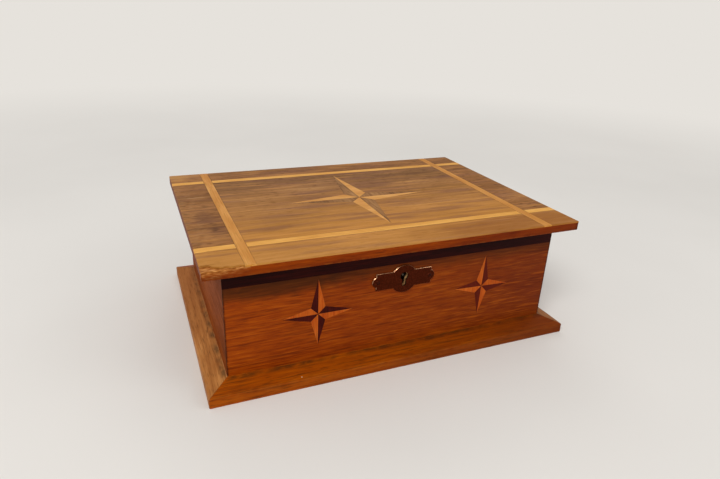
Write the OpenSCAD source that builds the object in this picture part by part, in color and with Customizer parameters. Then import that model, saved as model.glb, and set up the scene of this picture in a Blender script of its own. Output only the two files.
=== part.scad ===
// Ditty box: a flat wooden keepsake box with a wide overhanging lid, a splayed plinth,
// inlaid compass stars, a box lock let into the front wall and two butt hinges behind.
// The origin is the centre of the footprint, +Z is up and the front faces -Y.

/* [Case] */
// Width of the case, outside the walls
case_w = 290.5; // [240:0.5:400]
// Depth of the case, outside the walls
case_d = 200; // [160:0.5:300]
// Height of the case, from the table to the rim
case_h = 102.3; // [95:0.1:140]
// Thickness of the four walls
wall_t = 11; // [10:0.5:16]
// Thickness of the bottom board
bottom_t = 6; // [4:0.5:10]
// Height of the bottom board above the table
bottom_lift = 8; // [5:0.5:12]
// Depth of the groove that holds the bottom board
groove_d = 4; // [2:0.5:6]
// Height of the dark fillet along the top of the front wall
fillet_h = 15; // [8:0.5:16]
// Thickness of the dark fillet
fillet_t = 2; // [1:0.25:2.5]

/* [Plinth] */
// How far the plinth stands out from the walls
plinth_out = 16.5; // [8:0.5:20]
// Height of the plinth's upright edge
plinth_edge = 8.4; // [4:0.1:12]
// Rise of the plinth's slope, from that edge up to the walls
plinth_rise = 5.1; // [2:0.1:10]

/* [Lid] */
// How far the lid stands out over each side wall
lid_over_side = 14.75; // [6:0.25:24]
// How far the lid stands out over the front wall
lid_over_front = 13.75; // [6:0.25:24]
// How far the lid stands out over the back wall
lid_over_back = 13.75; // [8:0.25:24]
// Thickness of the solid board under the veneer
board_t = 6.9; // [5.5:0.1:12]
// Thickness of the veneer and of the inlay
veneer_t = 1.2; // [0.6:0.1:2]
// Gap under the closed lid
seat_gap = 0.1; // [0.05:0.05:0.3]

/* [Lid inlay] */
// Width of the pale strips
strip_w = 8; // [4:0.5:14]
// Distance from the lid's ends to the middle of the cross strips
strip_in_side = 33.5; // [15:0.5:50]
// Distance from the lid's back edge to the middle of the long strip
strip_in_back = 30.5; // [15:0.5:45]
// Distance from the lid's front edge to the middle of the long strip
strip_in_front = 34.5; // [15:0.5:45]
// Veneer left between the star's front tip and the front long strip
lid_star_gap = 8.25; // [4:0.25:20]
// How much shorter the star's arms are along the lid than across it
lid_star_less = 4.5; // [0:0.5:15]
// Distance from the star's axes to the corners between its arms
lid_star_waist = 10.8; // [5:0.1:15]
// Width of the glue line round an inlaid piece
glue_line = 0.12; // [0.05:0.01:0.2]

/* [Front inlay] */
// Distance from the middle of the front to each star
star_x = 75; // [60:0.5:100]
// Sideways place of the middle between the stars
star_shift = 1.6; // [-5:0.1:5]
// Height of the stars' centres above the table
star_z = 54.2; // [45:0.1:60]
// Length of the stars' arms
star_arm = 27.6; // [15:0.1:32]
// Distance from the stars' axes to the corners between their arms
star_waist = 5.9; // [3:0.1:8]
// Depth of the front inlay
star_t = 1.2; // [0.6:0.1:2]
// Lean of the right star, clockwise
star_lean = 2; // [0:0.5:6]

/* [Escutcheon] */
// Sideways place of the keyhole and of the lock
key_x = -1; // [-5:0.1:5]
// Distance from the rim down to the middle of the keyhole's round part
key_below = 25.9; // [24:0.1:32]
// Radius of the keyhole's round part
key_r = 3.5; // [2.5:0.1:4]
// Width of the keyhole's slot
key_slot_w = 3.5; // [2:0.1:4]
// Distance from the keyhole's round centre to the foot of its slot
key_drop = 8.8; // [8:0.1:12]
// Width of the escutcheon's bar
plate_w = 49.2; // [40:0.1:60]
// Height of the escutcheon's bar
plate_h = 14.6; // [12:0.1:18]
// Distance from the keyhole's round middle down to the escutcheon's middle
plate_below = 2.5; // [1:0.1:5]
// Radius of the escutcheon's middle disc
plate_disc_r = 12.1; // [9:0.1:14]
// Radius of the round ears at the escutcheon's ends
plate_ear_r = 4.7; // [3:0.1:6]
// How far the middles of the ears lie inside the ends of the bar
plate_ear_in = 1.4; // [0:0.1:4]
// Thickness of the escutcheon
plate_t = 1.3; // [0.8:0.1:2]
// Bevel round the escutcheon's edge
plate_bevel = 0.4; // [0.2:0.05:0.6]

/* [Lock] */
// Width of the lock plate's flanges, outside the cap
lock_flange = 6; // [5:0.5:12]
// Height of the lock below the foot of the keyhole
lock_foot = 3.5; // [3:0.5:10]
// Wood left between the lock and the face of the front wall
lock_skin = 3; // [2.6:0.1:4]
// Thickness of the lock's brass sheet
lock_sheet = 1.4; // [1:0.1:1.8]
// Thickness of the cap's sheet
cap_t = 1; // [0.6:0.1:1.2]
// Thickness of the bolt
bolt_t = 1.6; // [1:0.1:2]
// Travel of the bolt
bolt_throw = 5; // [4:0.25:7]
// Thickness of the link plate's eyes along the bolt
eye_t = 2; // [1.5:0.1:3]
// Length of the link plate's eyes under the lid
eye_l = 10.4; // [9:0.1:11]
// Distance from the keyhole to each eye
eye_x = 10; // [9:0.5:14]

/* [Hinges] */
// Distance from the case's ends to the middle of each hinge
hinge_in = 54; // [30:1:90]
// Length of a hinge
hinge_l = 34; // [28:1:60]
// Thickness of a hinge leaf
leaf_t = 1.5; // [1:0.1:1.8]
// Width of the rim left inside the hinge leaves
leaf_margin = 2; // [1:0.25:4]
// Radius of the hinge barrel
barrel_r = 2.6; // [2.3:0.1:3.2]
// Radius of the hinge pin
hinge_pin_r = 1; // [0.8:0.05:1.4]

/* [Clearances] */
// Gap between a loose piece and its seat
fit_gap = 0.1; // [0.05:0.05:0.2]
// Radial gap between a pin and its bore
pin_gap = 0.05; // [0.02:0.01:0.08]
// Gap between pieces that pass each other
pass_gap = 0.3; // [0.2:0.05:0.4]

/* [Hidden] */
$fn = 48;
// Turn of the lid and travel of the bolt, for looking at the moving pieces
lid_angle = 0;
bolt_travel = 0;

// Heights and faces that several pieces share
plinth_h = plinth_edge + plinth_rise;
lid_z = case_h + seat_gap;
veneer_z = lid_z + board_t;
front_y = -case_d / 2;
inner_front_y = front_y + wall_t;
back_y = case_d / 2;
lid_w = case_w + 2 * lid_over_side;
lid_front_y = front_y - lid_over_front;
lid_back_y = back_y + lid_over_back;

// Hinge axis, on the joint between rim and lid, just clear of the back wall
hinge_x = case_w / 2 - hinge_in;
hinge_y = back_y + barrel_r + pass_gap;
hinge_z = case_h + seat_gap / 2;
knuckles = 5;
knuckle_l = hinge_l / knuckles;
hinge_pitch = hinge_l / 3;
leaf_w = wall_t - leaf_margin;
leaf_reach = hinge_y - back_y + leaf_w;
hinge_screw_y = back_y - leaf_w / 2;
// The lid opens until its back edge meets the back wall
lid_stop = 90 + asin((hinge_y - back_y) / (lid_back_y - hinge_y));
// Screws: radius of the head, radius of the shank, length
hinge_case_screw = [2.5, 1.2, 10];
hinge_lid_screw = [2.5, 1.2, board_t - 0.8];
lock_screw = [2.2, 1.1, 6.5];
link_screw = [2.2, 1, board_t - 1.4];
// Radius of a screw's blunt point
screw_tip_r = 0.2;

// Lid strips
cross_x = lid_w / 2 - strip_in_side;
long_back_y = lid_back_y - strip_in_back;
long_front_y = lid_front_y + strip_in_front;
// Lid star, from the front long strip back to the middle of the lid
lid_star_y = -long_front_y - strip_w / 2 - lid_star_gap;
lid_star_x = lid_star_y - lid_star_less;

// Lock, from the inner face of the front wall outwards
cap_lift = 2;
lock_screw_foot = 6;
lock_screw_top = 8;
key_z = case_h - key_below;
plate_z = key_z - plate_below;
plate_ear_x = plate_w / 2 - plate_ear_in;
works_d = wall_t - lock_sheet - cap_t - lock_skin;
works_back_y = inner_front_y - lock_sheet;
works_y = works_back_y - works_d / 2;
cap_back_y = works_back_y - works_d;
lock_front_y = cap_back_y - cap_t;
lock_h = key_below + key_drop + lock_foot;
lock_foot_z = case_h - lock_h;
cap_foot_z = lock_foot_z + cap_lift;
selvedge_z = case_h - lock_sheet;
// Bolt: the bar lies under the eyes, and its hooks reach up to them
eye_rim = 1.8;
eye_hole_h = 4.2;
eye_to_bar = 0.7;
bit_gap = 0.5;
bit_lap = 1.6;
post_w = 4;
bolt_end = 3;
bolt_end_gap = 1.4;
guide_r = 1;
guide_left = 3;
guide_right = 1;
drill_r = 1.3;
eye_w = works_d - 4 * pass_gap;
eye_foot_z = lid_z - eye_l;
eye_hole_z = eye_foot_z + eye_rim;
nose_h = eye_hole_h - 2 * pass_gap;
nose_z = eye_hole_z + pass_gap;
bar_top_z = eye_foot_z - eye_to_bar;
key_bit_r = key_drop - bit_gap;
bar_foot_z = key_z + key_bit_r - bit_lap;
nose_back = 2 * pass_gap;
nose_l = bolt_throw;
bolt_left = -eye_x - eye_t / 2 - nose_back - nose_l - post_w;
bolt_right = eye_x + eye_t / 2 + bolt_end;
cap_w = 2 * (cap_t + bolt_end_gap - bolt_left);
lock_w = cap_w + 2 * lock_flange;
guide_z = (bar_top_z + key_z + key_bit_r + fit_gap) / 2;
guide_xs = [-eye_x - guide_left, eye_x - guide_right];
lock_screw_zs = [lock_foot_z + lock_screw_foot, case_h - lock_screw_top];
// Escutcheon pins stop in the skin of wood that is left in front of the lock
plate_pin_r = 0.7;
plate_pin_l = plate_t + lock_front_y - front_y - 3 * fit_gap;
// Spring: a bowed strip on an upright foot, from the floor of the cap to the bolt
spring_bow = 15;
spring_foot = 1.5;
spring_t = 0.5;
spring_w = 3;
cap_floor_z = cap_foot_z + cap_t;
spring_top_z = bar_foot_z - 2 * fit_gap;
spring_r = min(spring_bow, spring_top_z - cap_floor_z - spring_foot);
spring_x = -cap_w / 2 + cap_t + spring_r;
spring_z = spring_top_z - spring_r;
// Link plate
link_w = 38;
link_d = 7;
link_screw_x = 15.5;

// A flat shape drawn as seen from the front, from the depth y back into the box
module on_front(y, depth) {
    translate([0, y + depth, 0])
        rotate([90, 0, 0])
            linear_extrude(height = depth)
                children();
}

// Plan of one mitred side: a bar of the given thickness along the -Y side of a rectangle
module mitred_plan(w, d, t) {
    polygon([[-w / 2, -d / 2], [w / 2, -d / 2], [w / 2 - t, -d / 2 + t], [-w / 2 + t, -d / 2 + t]]);
}

// Countersunk wood screw, head up at the origin, with a slot across the head
module screw(size) {
    head_r = size[0];
    shank_r = size[1];
    length = size[2];
    head_h = head_r - shank_r;
    difference() {
        rotate_extrude($fn = 32)
            polygon([[0, -length], [screw_tip_r, -length], [shank_r, shank_r - length],
                     [shank_r, -head_h], [head_r, 0], [0, 0]]);
        cube([2 * head_r + 1, 0.5, 0.8], center = true);
    }
}

// Hole for that screw: the countersink in its plate and the pilot hole below
module screw_hole(size) {
    head_r = size[0];
    shank_r = size[1];
    length = size[2];
    translate([0, 0, -head_r + shank_r])
        cylinder(h = head_r - shank_r, r1 = shank_r + pin_gap, r2 = head_r + pin_gap, $fn = 32);
    translate([0, 0, -length - fit_gap])
        cylinder(h = length + fit_gap, r = shank_r + pin_gap, $fn = 32);
    translate([0, 0, -0.001])
        cylinder(h = 1, r = head_r + pin_gap, $fn = 32);
}

// Compass star

// Corner points of the star: four tips, and four waist corners between them
function star_tip(k, ax, ay) = [ax * cos(90 * k), ay * sin(90 * k)];
function star_corner(k, s) = s * sqrt(2) * [cos(90 * k + 45), sin(90 * k + 45)];

// Outline of the whole star
module star_outline(ax, ay, s) {
    polygon([for (k = [0:3]) each [star_tip(k, ax, ay), star_corner(k, s)]]);
}

// A triangle drawn in on all sides by g, about the centre of its inscribed circle
function tri_sides(p) = [norm(p[1] - p[2]), norm(p[2] - p[0]), norm(p[0] - p[1])];
function tri_round(p) = let (s = tri_sides(p)) s[0] + s[1] + s[2];
function tri_centre(p) = tri_sides(p) * p / tri_round(p);
function tri_area2(p) = abs(cross(p[1] - p[0], p[2] - p[0]));
function tri_inset(p, g) =
    let (c = tri_centre(p), k = 1 - g * tri_round(p) / tri_area2(p))
    [for (v = p) c + k * (v - c)];

// Four half arms: side 1 is the half that lies anticlockwise of each tip, side -1 the other
module star_halves(ax, ay, s, side) {
    for (k = [0:3]) {
        corner = star_corner(side > 0 ? k : k + 3, s);
        polygon(tri_inset([[0, 0], star_tip(k, ax, ay), corner], glue_line / 2));
    }
}

// Both front stars, the right one mirrored and leaning
module on_front_stars(right_lean) {
    translate([star_shift - star_x, star_z])
        children(0);
    translate([star_shift + star_x, star_z])
        rotate(-right_lean)
            mirror([1, 0])
                children(0);
}

// Keyhole: a round part with a slot below, larger by g all round
module keyhole(g) {
    translate([key_x, key_z])
        circle(r = key_r + g);
    translate([key_x - key_slot_w / 2 - g, key_z - key_drop + key_slot_w / 2])
        square([key_slot_w + 2 * g, key_drop - key_slot_w / 2]);
    translate([key_x, key_z - key_drop + key_slot_w / 2])
        circle(r = key_slot_w / 2 + g);
}

// Case

// Rectangle of the bottom board, with the given gap to the foot of its groove
module bottom_panel(gap, height) {
    w = case_w - 2 * (wall_t - groove_d) - 2 * gap;
    d = case_d - 2 * (wall_t - groove_d) - 2 * gap;
    translate([-w / 2, -d / 2, bottom_lift])
        cube([w, d, height]);
}

// One mitred wall along the -Y side of a w by d case
module wall(w, d) {
    linear_extrude(height = case_h)
        mitred_plan(w, d, wall_t);
}

// Seat of a hinge leaf in the rim of the back wall, with its pilot holes
module hinge_case_seat(x) {
    translate([x - hinge_l / 2 - fit_gap, back_y - leaf_w - fit_gap, case_h - leaf_t])
        cube([hinge_l + 2 * fit_gap, leaf_w + fit_gap + 1, leaf_t + 1]);
    for (k = [-1:1])
        translate([x + k * hinge_pitch, hinge_screw_y, case_h])
            screw_hole(hinge_case_screw);
}

// Room in the front wall for the lock: plate, selvedge, works, keyhole and screws
module lock_room() {
    translate([key_x - lock_w / 2 - fit_gap, inner_front_y - lock_sheet, lock_foot_z - fit_gap])
        cube([lock_w + 2 * fit_gap, lock_sheet + 1, lock_h + 1]);
    translate([key_x - lock_w / 2 - fit_gap, lock_front_y - fit_gap, selvedge_z])
        cube([lock_w + 2 * fit_gap, wall_t, lock_sheet + 1]);
    translate([key_x - cap_w / 2 - fit_gap, lock_front_y - fit_gap, cap_foot_z - fit_gap])
        cube([cap_w + 2 * fit_gap, wall_t, lock_h]);
    on_front(front_y - 1, wall_t)
        keyhole(pass_gap);
    lock_screw_places()
        screw_hole(lock_screw);
}

module lock_screw_places() {
    for (x = [-1, 1], z = lock_screw_zs)
        translate([key_x + x * (lock_w + cap_w) / 4, inner_front_y, z])
            rotate([-90, 0, 0])
                children();
}

module escutcheon_pin_places() {
    for (x = [-1, 1])
        translate([key_x + x * plate_ear_x, front_y - plate_t, plate_z])
            rotate([90, 0, 0])
                children();
}

module front_wall() {
    color("#7a2f0e")
        difference() {
            wall(case_w, case_d);
            bottom_panel(0, bottom_t + fit_gap);
            translate([0, 0, case_h - fillet_h])
                linear_extrude(height = fillet_h + 1)
                    mitred_plan(case_w, case_d, fillet_t);
            on_front(front_y, star_t)
                on_front_stars(star_lean)
                    star_outline(star_arm, star_arm, star_waist);
            lock_room();
            escutcheon_pin_places()
                translate([0, 0, -plate_pin_l - fit_gap])
                    cylinder(h = plate_pin_l, r = plate_pin_r + pin_gap, $fn = 32);
        }
}

module back_wall() {
    color("#6b3a1c")
        difference() {
            rotate(180)
                wall(case_w, case_d);
            bottom_panel(0, bottom_t + fit_gap);
            for (x = [-1, 1])
                hinge_case_seat(x * hinge_x);
        }
}

module side_wall(turn) {
    color("#764020")
        difference() {
            rotate(turn)
                wall(case_d, case_w);
            bottom_panel(0, bottom_t + fit_gap);
        }
}

module bottom_board() {
    color("#9a6f45")
        bottom_panel(fit_gap, bottom_t);
}

module front_fillet() {
    color("#2a0d08")
        translate([0, 0, case_h - fillet_h])
            linear_extrude(height = fillet_h)
                mitred_plan(case_w, case_d, fillet_t);
}

// Front inlay

module front_stars(side, tint) {
    color(tint)
        on_front(front_y, star_t)
            on_front_stars(star_lean)
                star_halves(star_arm, star_arm, star_waist, side);
}

// Plinth

// One mitred moulding along the -Y side: upright edge, then a slope up to the wall
module plinth_moulding(w, d) {
    outer_w = w + 2 * plinth_out;
    outer_d = d + 2 * plinth_out;
    color("#8a5430")
        intersection() {
            translate([-outer_w / 2, -d / 2, 0])
                rotate([90, 0, 90])
                    linear_extrude(height = outer_w)
                        polygon([[0, 0], [-plinth_out, 0], [-plinth_out, plinth_edge], [0, plinth_h]]);
            linear_extrude(height = plinth_h)
                mitred_plan(outer_w, outer_d, plinth_out);
        }
}

// Escutcheon

// Bar, middle disc and two ears, each drawn in by the given amount
module escutcheon_outline() {
    translate([key_x, plate_z]) {
        square([plate_w, plate_h], center = true);
        circle(r = plate_disc_r);
        for (x = [-1, 1])
            translate([x * plate_ear_x, 0])
                circle(r = plate_ear_r);
    }
}

// Bevelled part of the plate, standing on z = 0 as a plate lying face up
module escutcheon_bevel() {
    translate([key_x, plate_z]) {
        cylinder(h = plate_bevel, r1 = plate_disc_r, r2 = plate_disc_r - plate_bevel);
        for (x = [-1, 1])
            translate([x * plate_ear_x, 0])
                cylinder(h = plate_bevel, r1 = plate_ear_r, r2 = plate_ear_r - plate_bevel);
        intersection() {
            rotate([90, 0, 0])
                linear_extrude(height = plate_h, center = true)
                    bevel_profile(plate_w);
            rotate([90, 0, 90])
                linear_extrude(height = plate_w, center = true)
                    bevel_profile(plate_h);
        }
    }
}

module bevel_profile(w) {
    polygon([[-w / 2, 0], [w / 2, 0], [w / 2 - plate_bevel, plate_bevel],
             [-w / 2 + plate_bevel, plate_bevel]]);
}

module escutcheon() {
    color("#4a1f16")
        difference() {
            translate([0, front_y, 0])
                rotate([90, 0, 0])
                    union() {
                        linear_extrude(height = plate_t - plate_bevel)
                            escutcheon_outline();
                        translate([0, 0, plate_t - plate_bevel])
                            escutcheon_bevel();
                    }
            on_front(front_y - plate_t - 1, plate_t + 2)
                keyhole(0);
            escutcheon_pin_places()
                translate([0, 0, -plate_t - 1])
                    cylinder(h = plate_t + 2, r = plate_pin_r + pin_gap, $fn = 32);
        }
}

// Round-headed pins that hold the escutcheon
module escutcheon_pins() {
    color("#9a6a55")
        escutcheon_pin_places() {
            intersection() {
                translate([0, 0, -1.2])
                    sphere(r = 2);
                cylinder(h = 2, r = 2, $fn = 32);
            }
            translate([0, 0, -plate_pin_l])
                cylinder(h = plate_pin_l, r = plate_pin_r, $fn = 32);
        }
}

// Lock

// Back plate and selvedge, bent from one sheet, slotted for the eyes of the link plate
module lock_plate() {
    color("#b08a4a")
        difference() {
            union() {
                translate([key_x - lock_w / 2, works_back_y, lock_foot_z])
                    cube([lock_w, lock_sheet, lock_h]);
                translate([key_x - lock_w / 2, lock_front_y, selvedge_z])
                    cube([lock_w, inner_front_y - lock_front_y, lock_sheet]);
            }
            for (x = [-1, 1])
                translate([key_x + x * eye_x, works_y, case_h])
                    cube([eye_t + 4 * pass_gap, eye_w + 3 * pass_gap, 4 * lock_sheet], center = true);
            lock_screw_places()
                screw_hole(lock_screw);
        }
}

// Shallow cap over the works, with the keyhole through its face
module lock_cap() {
    color("#6a5a48")
        difference() {
            translate([key_x - cap_w / 2, lock_front_y, cap_foot_z])
                cube([cap_w, cap_t + works_d, selvedge_z - cap_foot_z]);
            translate([key_x - cap_w / 2 + cap_t, cap_back_y, cap_foot_z + cap_t])
                cube([cap_w - 2 * cap_t, works_d + 1, lock_h]);
            on_front(lock_front_y - 1, cap_t + 2)
                keyhole(pass_gap);
        }
}

// Pin that the key's pipe turns on, riveted to the back plate
module lock_drill_pin() {
    color("#7d7468")
        translate([key_x, works_back_y, key_z])
            rotate([90, 0, 0]) {
                length = works_back_y - front_y - 1.5;
                cylinder(h = length - 0.6, r = drill_r, $fn = 32);
                translate([0, 0, length - 0.6])
                    cylinder(h = 0.6, r1 = drill_r, r2 = drill_r - 0.6, $fn = 32);
            }
}

// Two pins from plate to cap that the bolt slides on
module lock_guide_pins() {
    color("#7d7468")
        for (x = guide_xs)
            translate([key_x + x, works_back_y, guide_z])
                rotate([90, 0, 0])
                    cylinder(h = works_d, r = guide_r, $fn = 32);
}

// Bowed strip that bears on the underside of the bolt, footed in the corner of the cap
module lock_spring() {
    color("#8b8680")
        translate([key_x, works_y - spring_w / 2, 0])
            on_front(0, spring_w)
                union() {
                    translate([spring_x, spring_z])
                        intersection() {
                            difference() {
                                circle(r = spring_r);
                                circle(r = spring_r - spring_t);
                            }
                            polygon([[0, 0], [-2, 2 * spring_r], [-2 * spring_r, 2 * spring_r],
                                     [-2 * spring_r, 0]]);
                        }
                    translate([spring_x - spring_r, cap_floor_z])
                        square([spring_t, spring_z - cap_floor_z]);
                }
}

module lock_screws() {
    color("#a8895a")
        lock_screw_places()
            screw(lock_screw);
}

// Side view of the bolt: bar, two hooked posts, guide slots and the notch for the key
module bolt_outline() {
    difference() {
        union() {
            translate([bolt_left, bar_foot_z])
                square([bolt_right - bolt_left, bar_top_z - bar_foot_z]);
            for (x = [-eye_x, eye_x]) {
                tip = x - eye_t / 2 - nose_back;
                translate([tip - nose_l - post_w, bar_foot_z])
                    square([post_w, nose_z + nose_h - bar_foot_z]);
                translate([tip - nose_l - 1, nose_z])
                    square([nose_l + 0.4, nose_h]);
                translate([tip - 0.6, nose_z + 0.6])
                    square([0.6, nose_h - 1.2]);
                translate([tip - 0.6, nose_z + 0.6])
                    circle(r = 0.6);
                translate([tip - 0.6, nose_z + nose_h - 0.6])
                    circle(r = 0.6);
            }
        }
        for (x = guide_xs) {
            translate([x - bolt_throw, guide_z - guide_r - fit_gap])
                square([bolt_throw, 2 * (guide_r + fit_gap)]);
            for (e = [0, bolt_throw])
                translate([x - e, guide_z])
                    circle(r = guide_r + fit_gap);
        }
        translate([-bolt_throw, bar_foot_z - 1])
            square([bolt_throw, 1 + key_z + key_bit_r + fit_gap - bar_foot_z]);
    }
}

module lock_bolt() {
    color("#a08048")
        translate([key_x, 0, 0])
            on_front(works_y - bolt_t / 2, bolt_t)
                bolt_outline();
}

// Hinges

// Barrel knuckles that belong to one leaf: the case leaf has the outer and middle ones
module hinge_knuckles(first) {
    for (k = [first:2:knuckles - 1])
        translate([-hinge_l / 2 + k * knuckle_l + fit_gap, 0, 0])
            children();
}

// One leaf about the hinge axis, lying towards -Y, from the height z up
module hinge_leaf(first, z) {
    knuckle_w = knuckle_l - 2 * fit_gap;
    difference() {
        union() {
            translate([-hinge_l / 2, -leaf_reach, z])
                cube([hinge_l, leaf_reach - barrel_r - pass_gap, leaf_t]);
            hinge_knuckles(first)
                translate([0, -leaf_reach, z])
                    cube([knuckle_w, leaf_reach, leaf_t]);
            hinge_knuckles(first)
                rotate([0, 90, 0])
                    cylinder(h = knuckle_w, r = barrel_r);
        }
        rotate([0, 90, 0])
            cylinder(h = 2 * hinge_l, r = hinge_pin_r + pin_gap, center = true);
    }
}

module hinge_case_leaf(x) {
    color("#a9803f")
        difference() {
            translate([x, hinge_y, hinge_z])
                hinge_leaf(0, case_h - leaf_t - hinge_z);
            for (k = [-1:1])
                translate([x + k * hinge_pitch, hinge_screw_y, case_h])
                    screw_hole(hinge_case_screw);
        }
}

module hinge_lid_leaf(x) {
    color("#a9803f")
        difference() {
            translate([x, hinge_y, hinge_z])
                hinge_leaf(1, lid_z - hinge_z);
            for (k = [-1:1])
                translate([x + k * hinge_pitch, hinge_screw_y, lid_z])
                    rotate([180, 0, 0])
                        screw_hole(hinge_lid_screw);
        }
}

module hinge_pin(x) {
    color("#8f8a80")
        translate([x, hinge_y, hinge_z])
            rotate([0, 90, 0])
                cylinder(h = hinge_l, r = hinge_pin_r, center = true);
}

module hinge_case_screws() {
    color("#a9803f")
        for (x = [-hinge_x, hinge_x], k = [-1:1])
            translate([x + k * hinge_pitch, hinge_screw_y, case_h])
                rotate(20 * k)
                    screw(hinge_case_screw);
}

module hinge_lid_screws() {
    color("#a9803f")
        for (x = [-hinge_x, hinge_x], k = [-1:1])
            translate([x + k * hinge_pitch, hinge_screw_y, lid_z])
                rotate([180, 0, 35 * k])
                    screw(hinge_lid_screw);
}

// Lid

module link_screw_places() {
    for (x = [-1, 1])
        translate([key_x + x * link_screw_x, works_y, lid_z])
            rotate([180, 0, 0])
                children();
}

// Solid board, cut underneath for the hinges and the link plate
module lid_board() {
    color("#8a5a35")
        difference() {
            translate([-lid_w / 2, lid_front_y, lid_z])
                cube([lid_w, lid_back_y - lid_front_y, board_t]);
            for (x = [-hinge_x, hinge_x]) {
                translate([x, hinge_y, hinge_z])
                    rotate([0, 90, 0])
                        cylinder(h = hinge_l + 4 * pass_gap, r = barrel_r + pass_gap, center = true);
                translate([x - hinge_l / 2 - fit_gap, hinge_y - leaf_reach - fit_gap, lid_z - 1])
                    cube([hinge_l + 2 * fit_gap, leaf_reach + fit_gap, leaf_t + 1]);
                for (k = [-1:1])
                    translate([x + k * hinge_pitch, hinge_screw_y, lid_z])
                        rotate([180, 0, 0])
                            screw_hole(hinge_lid_screw);
            }
            translate([key_x - link_w / 2 - fit_gap, works_y - link_d / 2 - fit_gap, lid_z - 1])
                cube([link_w + 2 * fit_gap, link_d + 2 * fit_gap, lock_sheet + 1]);
            link_screw_places()
                screw_hole(link_screw);
        }
}

// A flat piece of veneer between two corners, drawn in by half a glue line on inner sides
module veneer_field(x0, y0, x1, y1) {
    g = glue_line / 2;
    left = x0 > -lid_w / 2 ? x0 + g : x0;
    right = x1 < lid_w / 2 ? x1 - g : x1;
    front = y0 > lid_front_y ? y0 + g : y0;
    back = y1 < lid_back_y ? y1 - g : y1;
    translate([left, front])
        square([right - left, back - front]);
}

module on_lid() {
    translate([0, 0, veneer_z])
        linear_extrude(height = veneer_t)
            children();
}

module lid_veneer_middle() {
    color("#966e4b")
        on_lid()
            difference() {
                veneer_field(-cross_x + strip_w / 2, long_front_y + strip_w / 2,
                             cross_x - strip_w / 2, long_back_y - strip_w / 2);
                star_outline(lid_star_x, lid_star_y, lid_star_waist);
            }
}

// The eight fields outside the strips, from the left to the right end
module lid_veneer_border() {
    h = strip_w / 2;
    xs = [[-lid_w / 2, -cross_x - h], [-cross_x + h, cross_x - h], [cross_x + h, lid_w / 2]];
    ys = [[lid_front_y, long_front_y - h], [long_front_y + h, long_back_y - h],
          [long_back_y + h, lid_back_y]];
    color("#a57846")
        on_lid()
            for (i = [0:2], j = [0:2])
                if (i != 1 || j != 1)
                    veneer_field(xs[i][0], ys[j][0], xs[i][1], ys[j][1]);
}

// Two strips across the lid, from edge to edge
module lid_cross_strips() {
    color("#deaa5f")
        on_lid()
            for (x = [-cross_x, cross_x])
                veneer_field(x - strip_w / 2, lid_front_y, x + strip_w / 2, lid_back_y);
}

// Two strips along the lid, each in three lengths that butt against the cross strips
module lid_long_strips() {
    h = strip_w / 2;
    color("#deaa5f")
        on_lid()
            for (y = [long_front_y, long_back_y], x = [[-lid_w / 2, -cross_x - h],
                 [-cross_x + h, cross_x - h], [cross_x + h, lid_w / 2]])
                veneer_field(x[0], y - h, x[1], y + h);
}

module lid_star(side, tint) {
    color(tint)
        on_lid()
            star_halves(lid_star_x, lid_star_y, lid_star_waist, side);
}

// Plate let into the lid's underside, with two eyes that drop into the lock
module link_plate() {
    color("#a9803f")
        difference() {
            union() {
                translate([key_x - link_w / 2, works_y - link_d / 2, lid_z])
                    cube([link_w, link_d, lock_sheet]);
                for (x = [-1, 1])
                    translate([key_x + x * eye_x - eye_t / 2, works_y, lid_z])
                        rotate([90, 0, 90])
                            linear_extrude(height = eye_t)
                                eye_outline();
            }
            link_screw_places()
                screw_hole(link_screw);
        }
}

// An eye seen from the side: a tongue with a rounded foot and a square hole for the bolt
module eye_outline() {
    hole_w = bolt_t + 2 * pass_gap;
    foot_r = 1.2;
    difference() {
        union() {
            translate([-eye_w / 2, -eye_l + foot_r])
                square([eye_w, eye_l - foot_r + lock_sheet / 2]);
            translate([-eye_w / 2 + foot_r, -eye_l])
                square([eye_w - 2 * foot_r, foot_r]);
            for (y = [-1, 1])
                translate([y * (eye_w / 2 - foot_r), -eye_l + foot_r])
                    circle(r = foot_r);
        }
        translate([-hole_w / 2, -eye_l + eye_hole_z - eye_foot_z])
            square([hole_w, eye_hole_h]);
    }
}

module link_screws() {
    color("#a9803f")
        link_screw_places()
            screw(link_screw);
}

// Pieces that turn with the lid
module with_lid() {
    translate([0, hinge_y, hinge_z])
        rotate([-min(lid_angle, lid_stop), 0, 0])
            translate([0, -hinge_y, -hinge_z])
                children();
}

front_wall();
back_wall();
side_wall(-90);  // left_wall
side_wall(90);  // right_wall
bottom_board();
front_fillet();
plinth_moulding(case_w, case_d);  // plinth_front
rotate(180) plinth_moulding(case_w, case_d);  // plinth_back
rotate(-90) plinth_moulding(case_d, case_w);  // plinth_left
rotate(90) plinth_moulding(case_d, case_w);  // plinth_right
front_stars(-1, "#d29a4e");  // front_stars_pale
front_stars(1, "#3a140c");  // front_stars_dark
escutcheon();
escutcheon_pins();
lock_plate();
lock_cap();
lock_drill_pin();
lock_guide_pins();
lock_spring();
lock_screws();
translate([bolt_travel, 0, 0]) lock_bolt();
hinge_case_leaf(-hinge_x);  // hinge_case_leaf_left
hinge_case_leaf(hinge_x);  // hinge_case_leaf_right
hinge_case_screws();
with_lid() hinge_lid_leaf(-hinge_x);  // hinge_lid_leaf_left
with_lid() hinge_lid_leaf(hinge_x);  // hinge_lid_leaf_right
with_lid() hinge_lid_screws();
hinge_pin(-hinge_x);  // hinge_pin_left
hinge_pin(hinge_x);  // hinge_pin_right
with_lid() lid_board();
with_lid() lid_veneer_middle();
with_lid() lid_veneer_border();
with_lid() lid_cross_strips();
with_lid() lid_long_strips();
with_lid() lid_star(-1, "#deaa5f");  // lid_star_pale
with_lid() lid_star(1, "#7d5230");  // lid_star_dark
with_lid() link_plate();
with_lid() link_screws();
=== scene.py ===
import math
import random
import bmesh
import bpy
from mathutils import Matrix, Vector, noise


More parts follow.
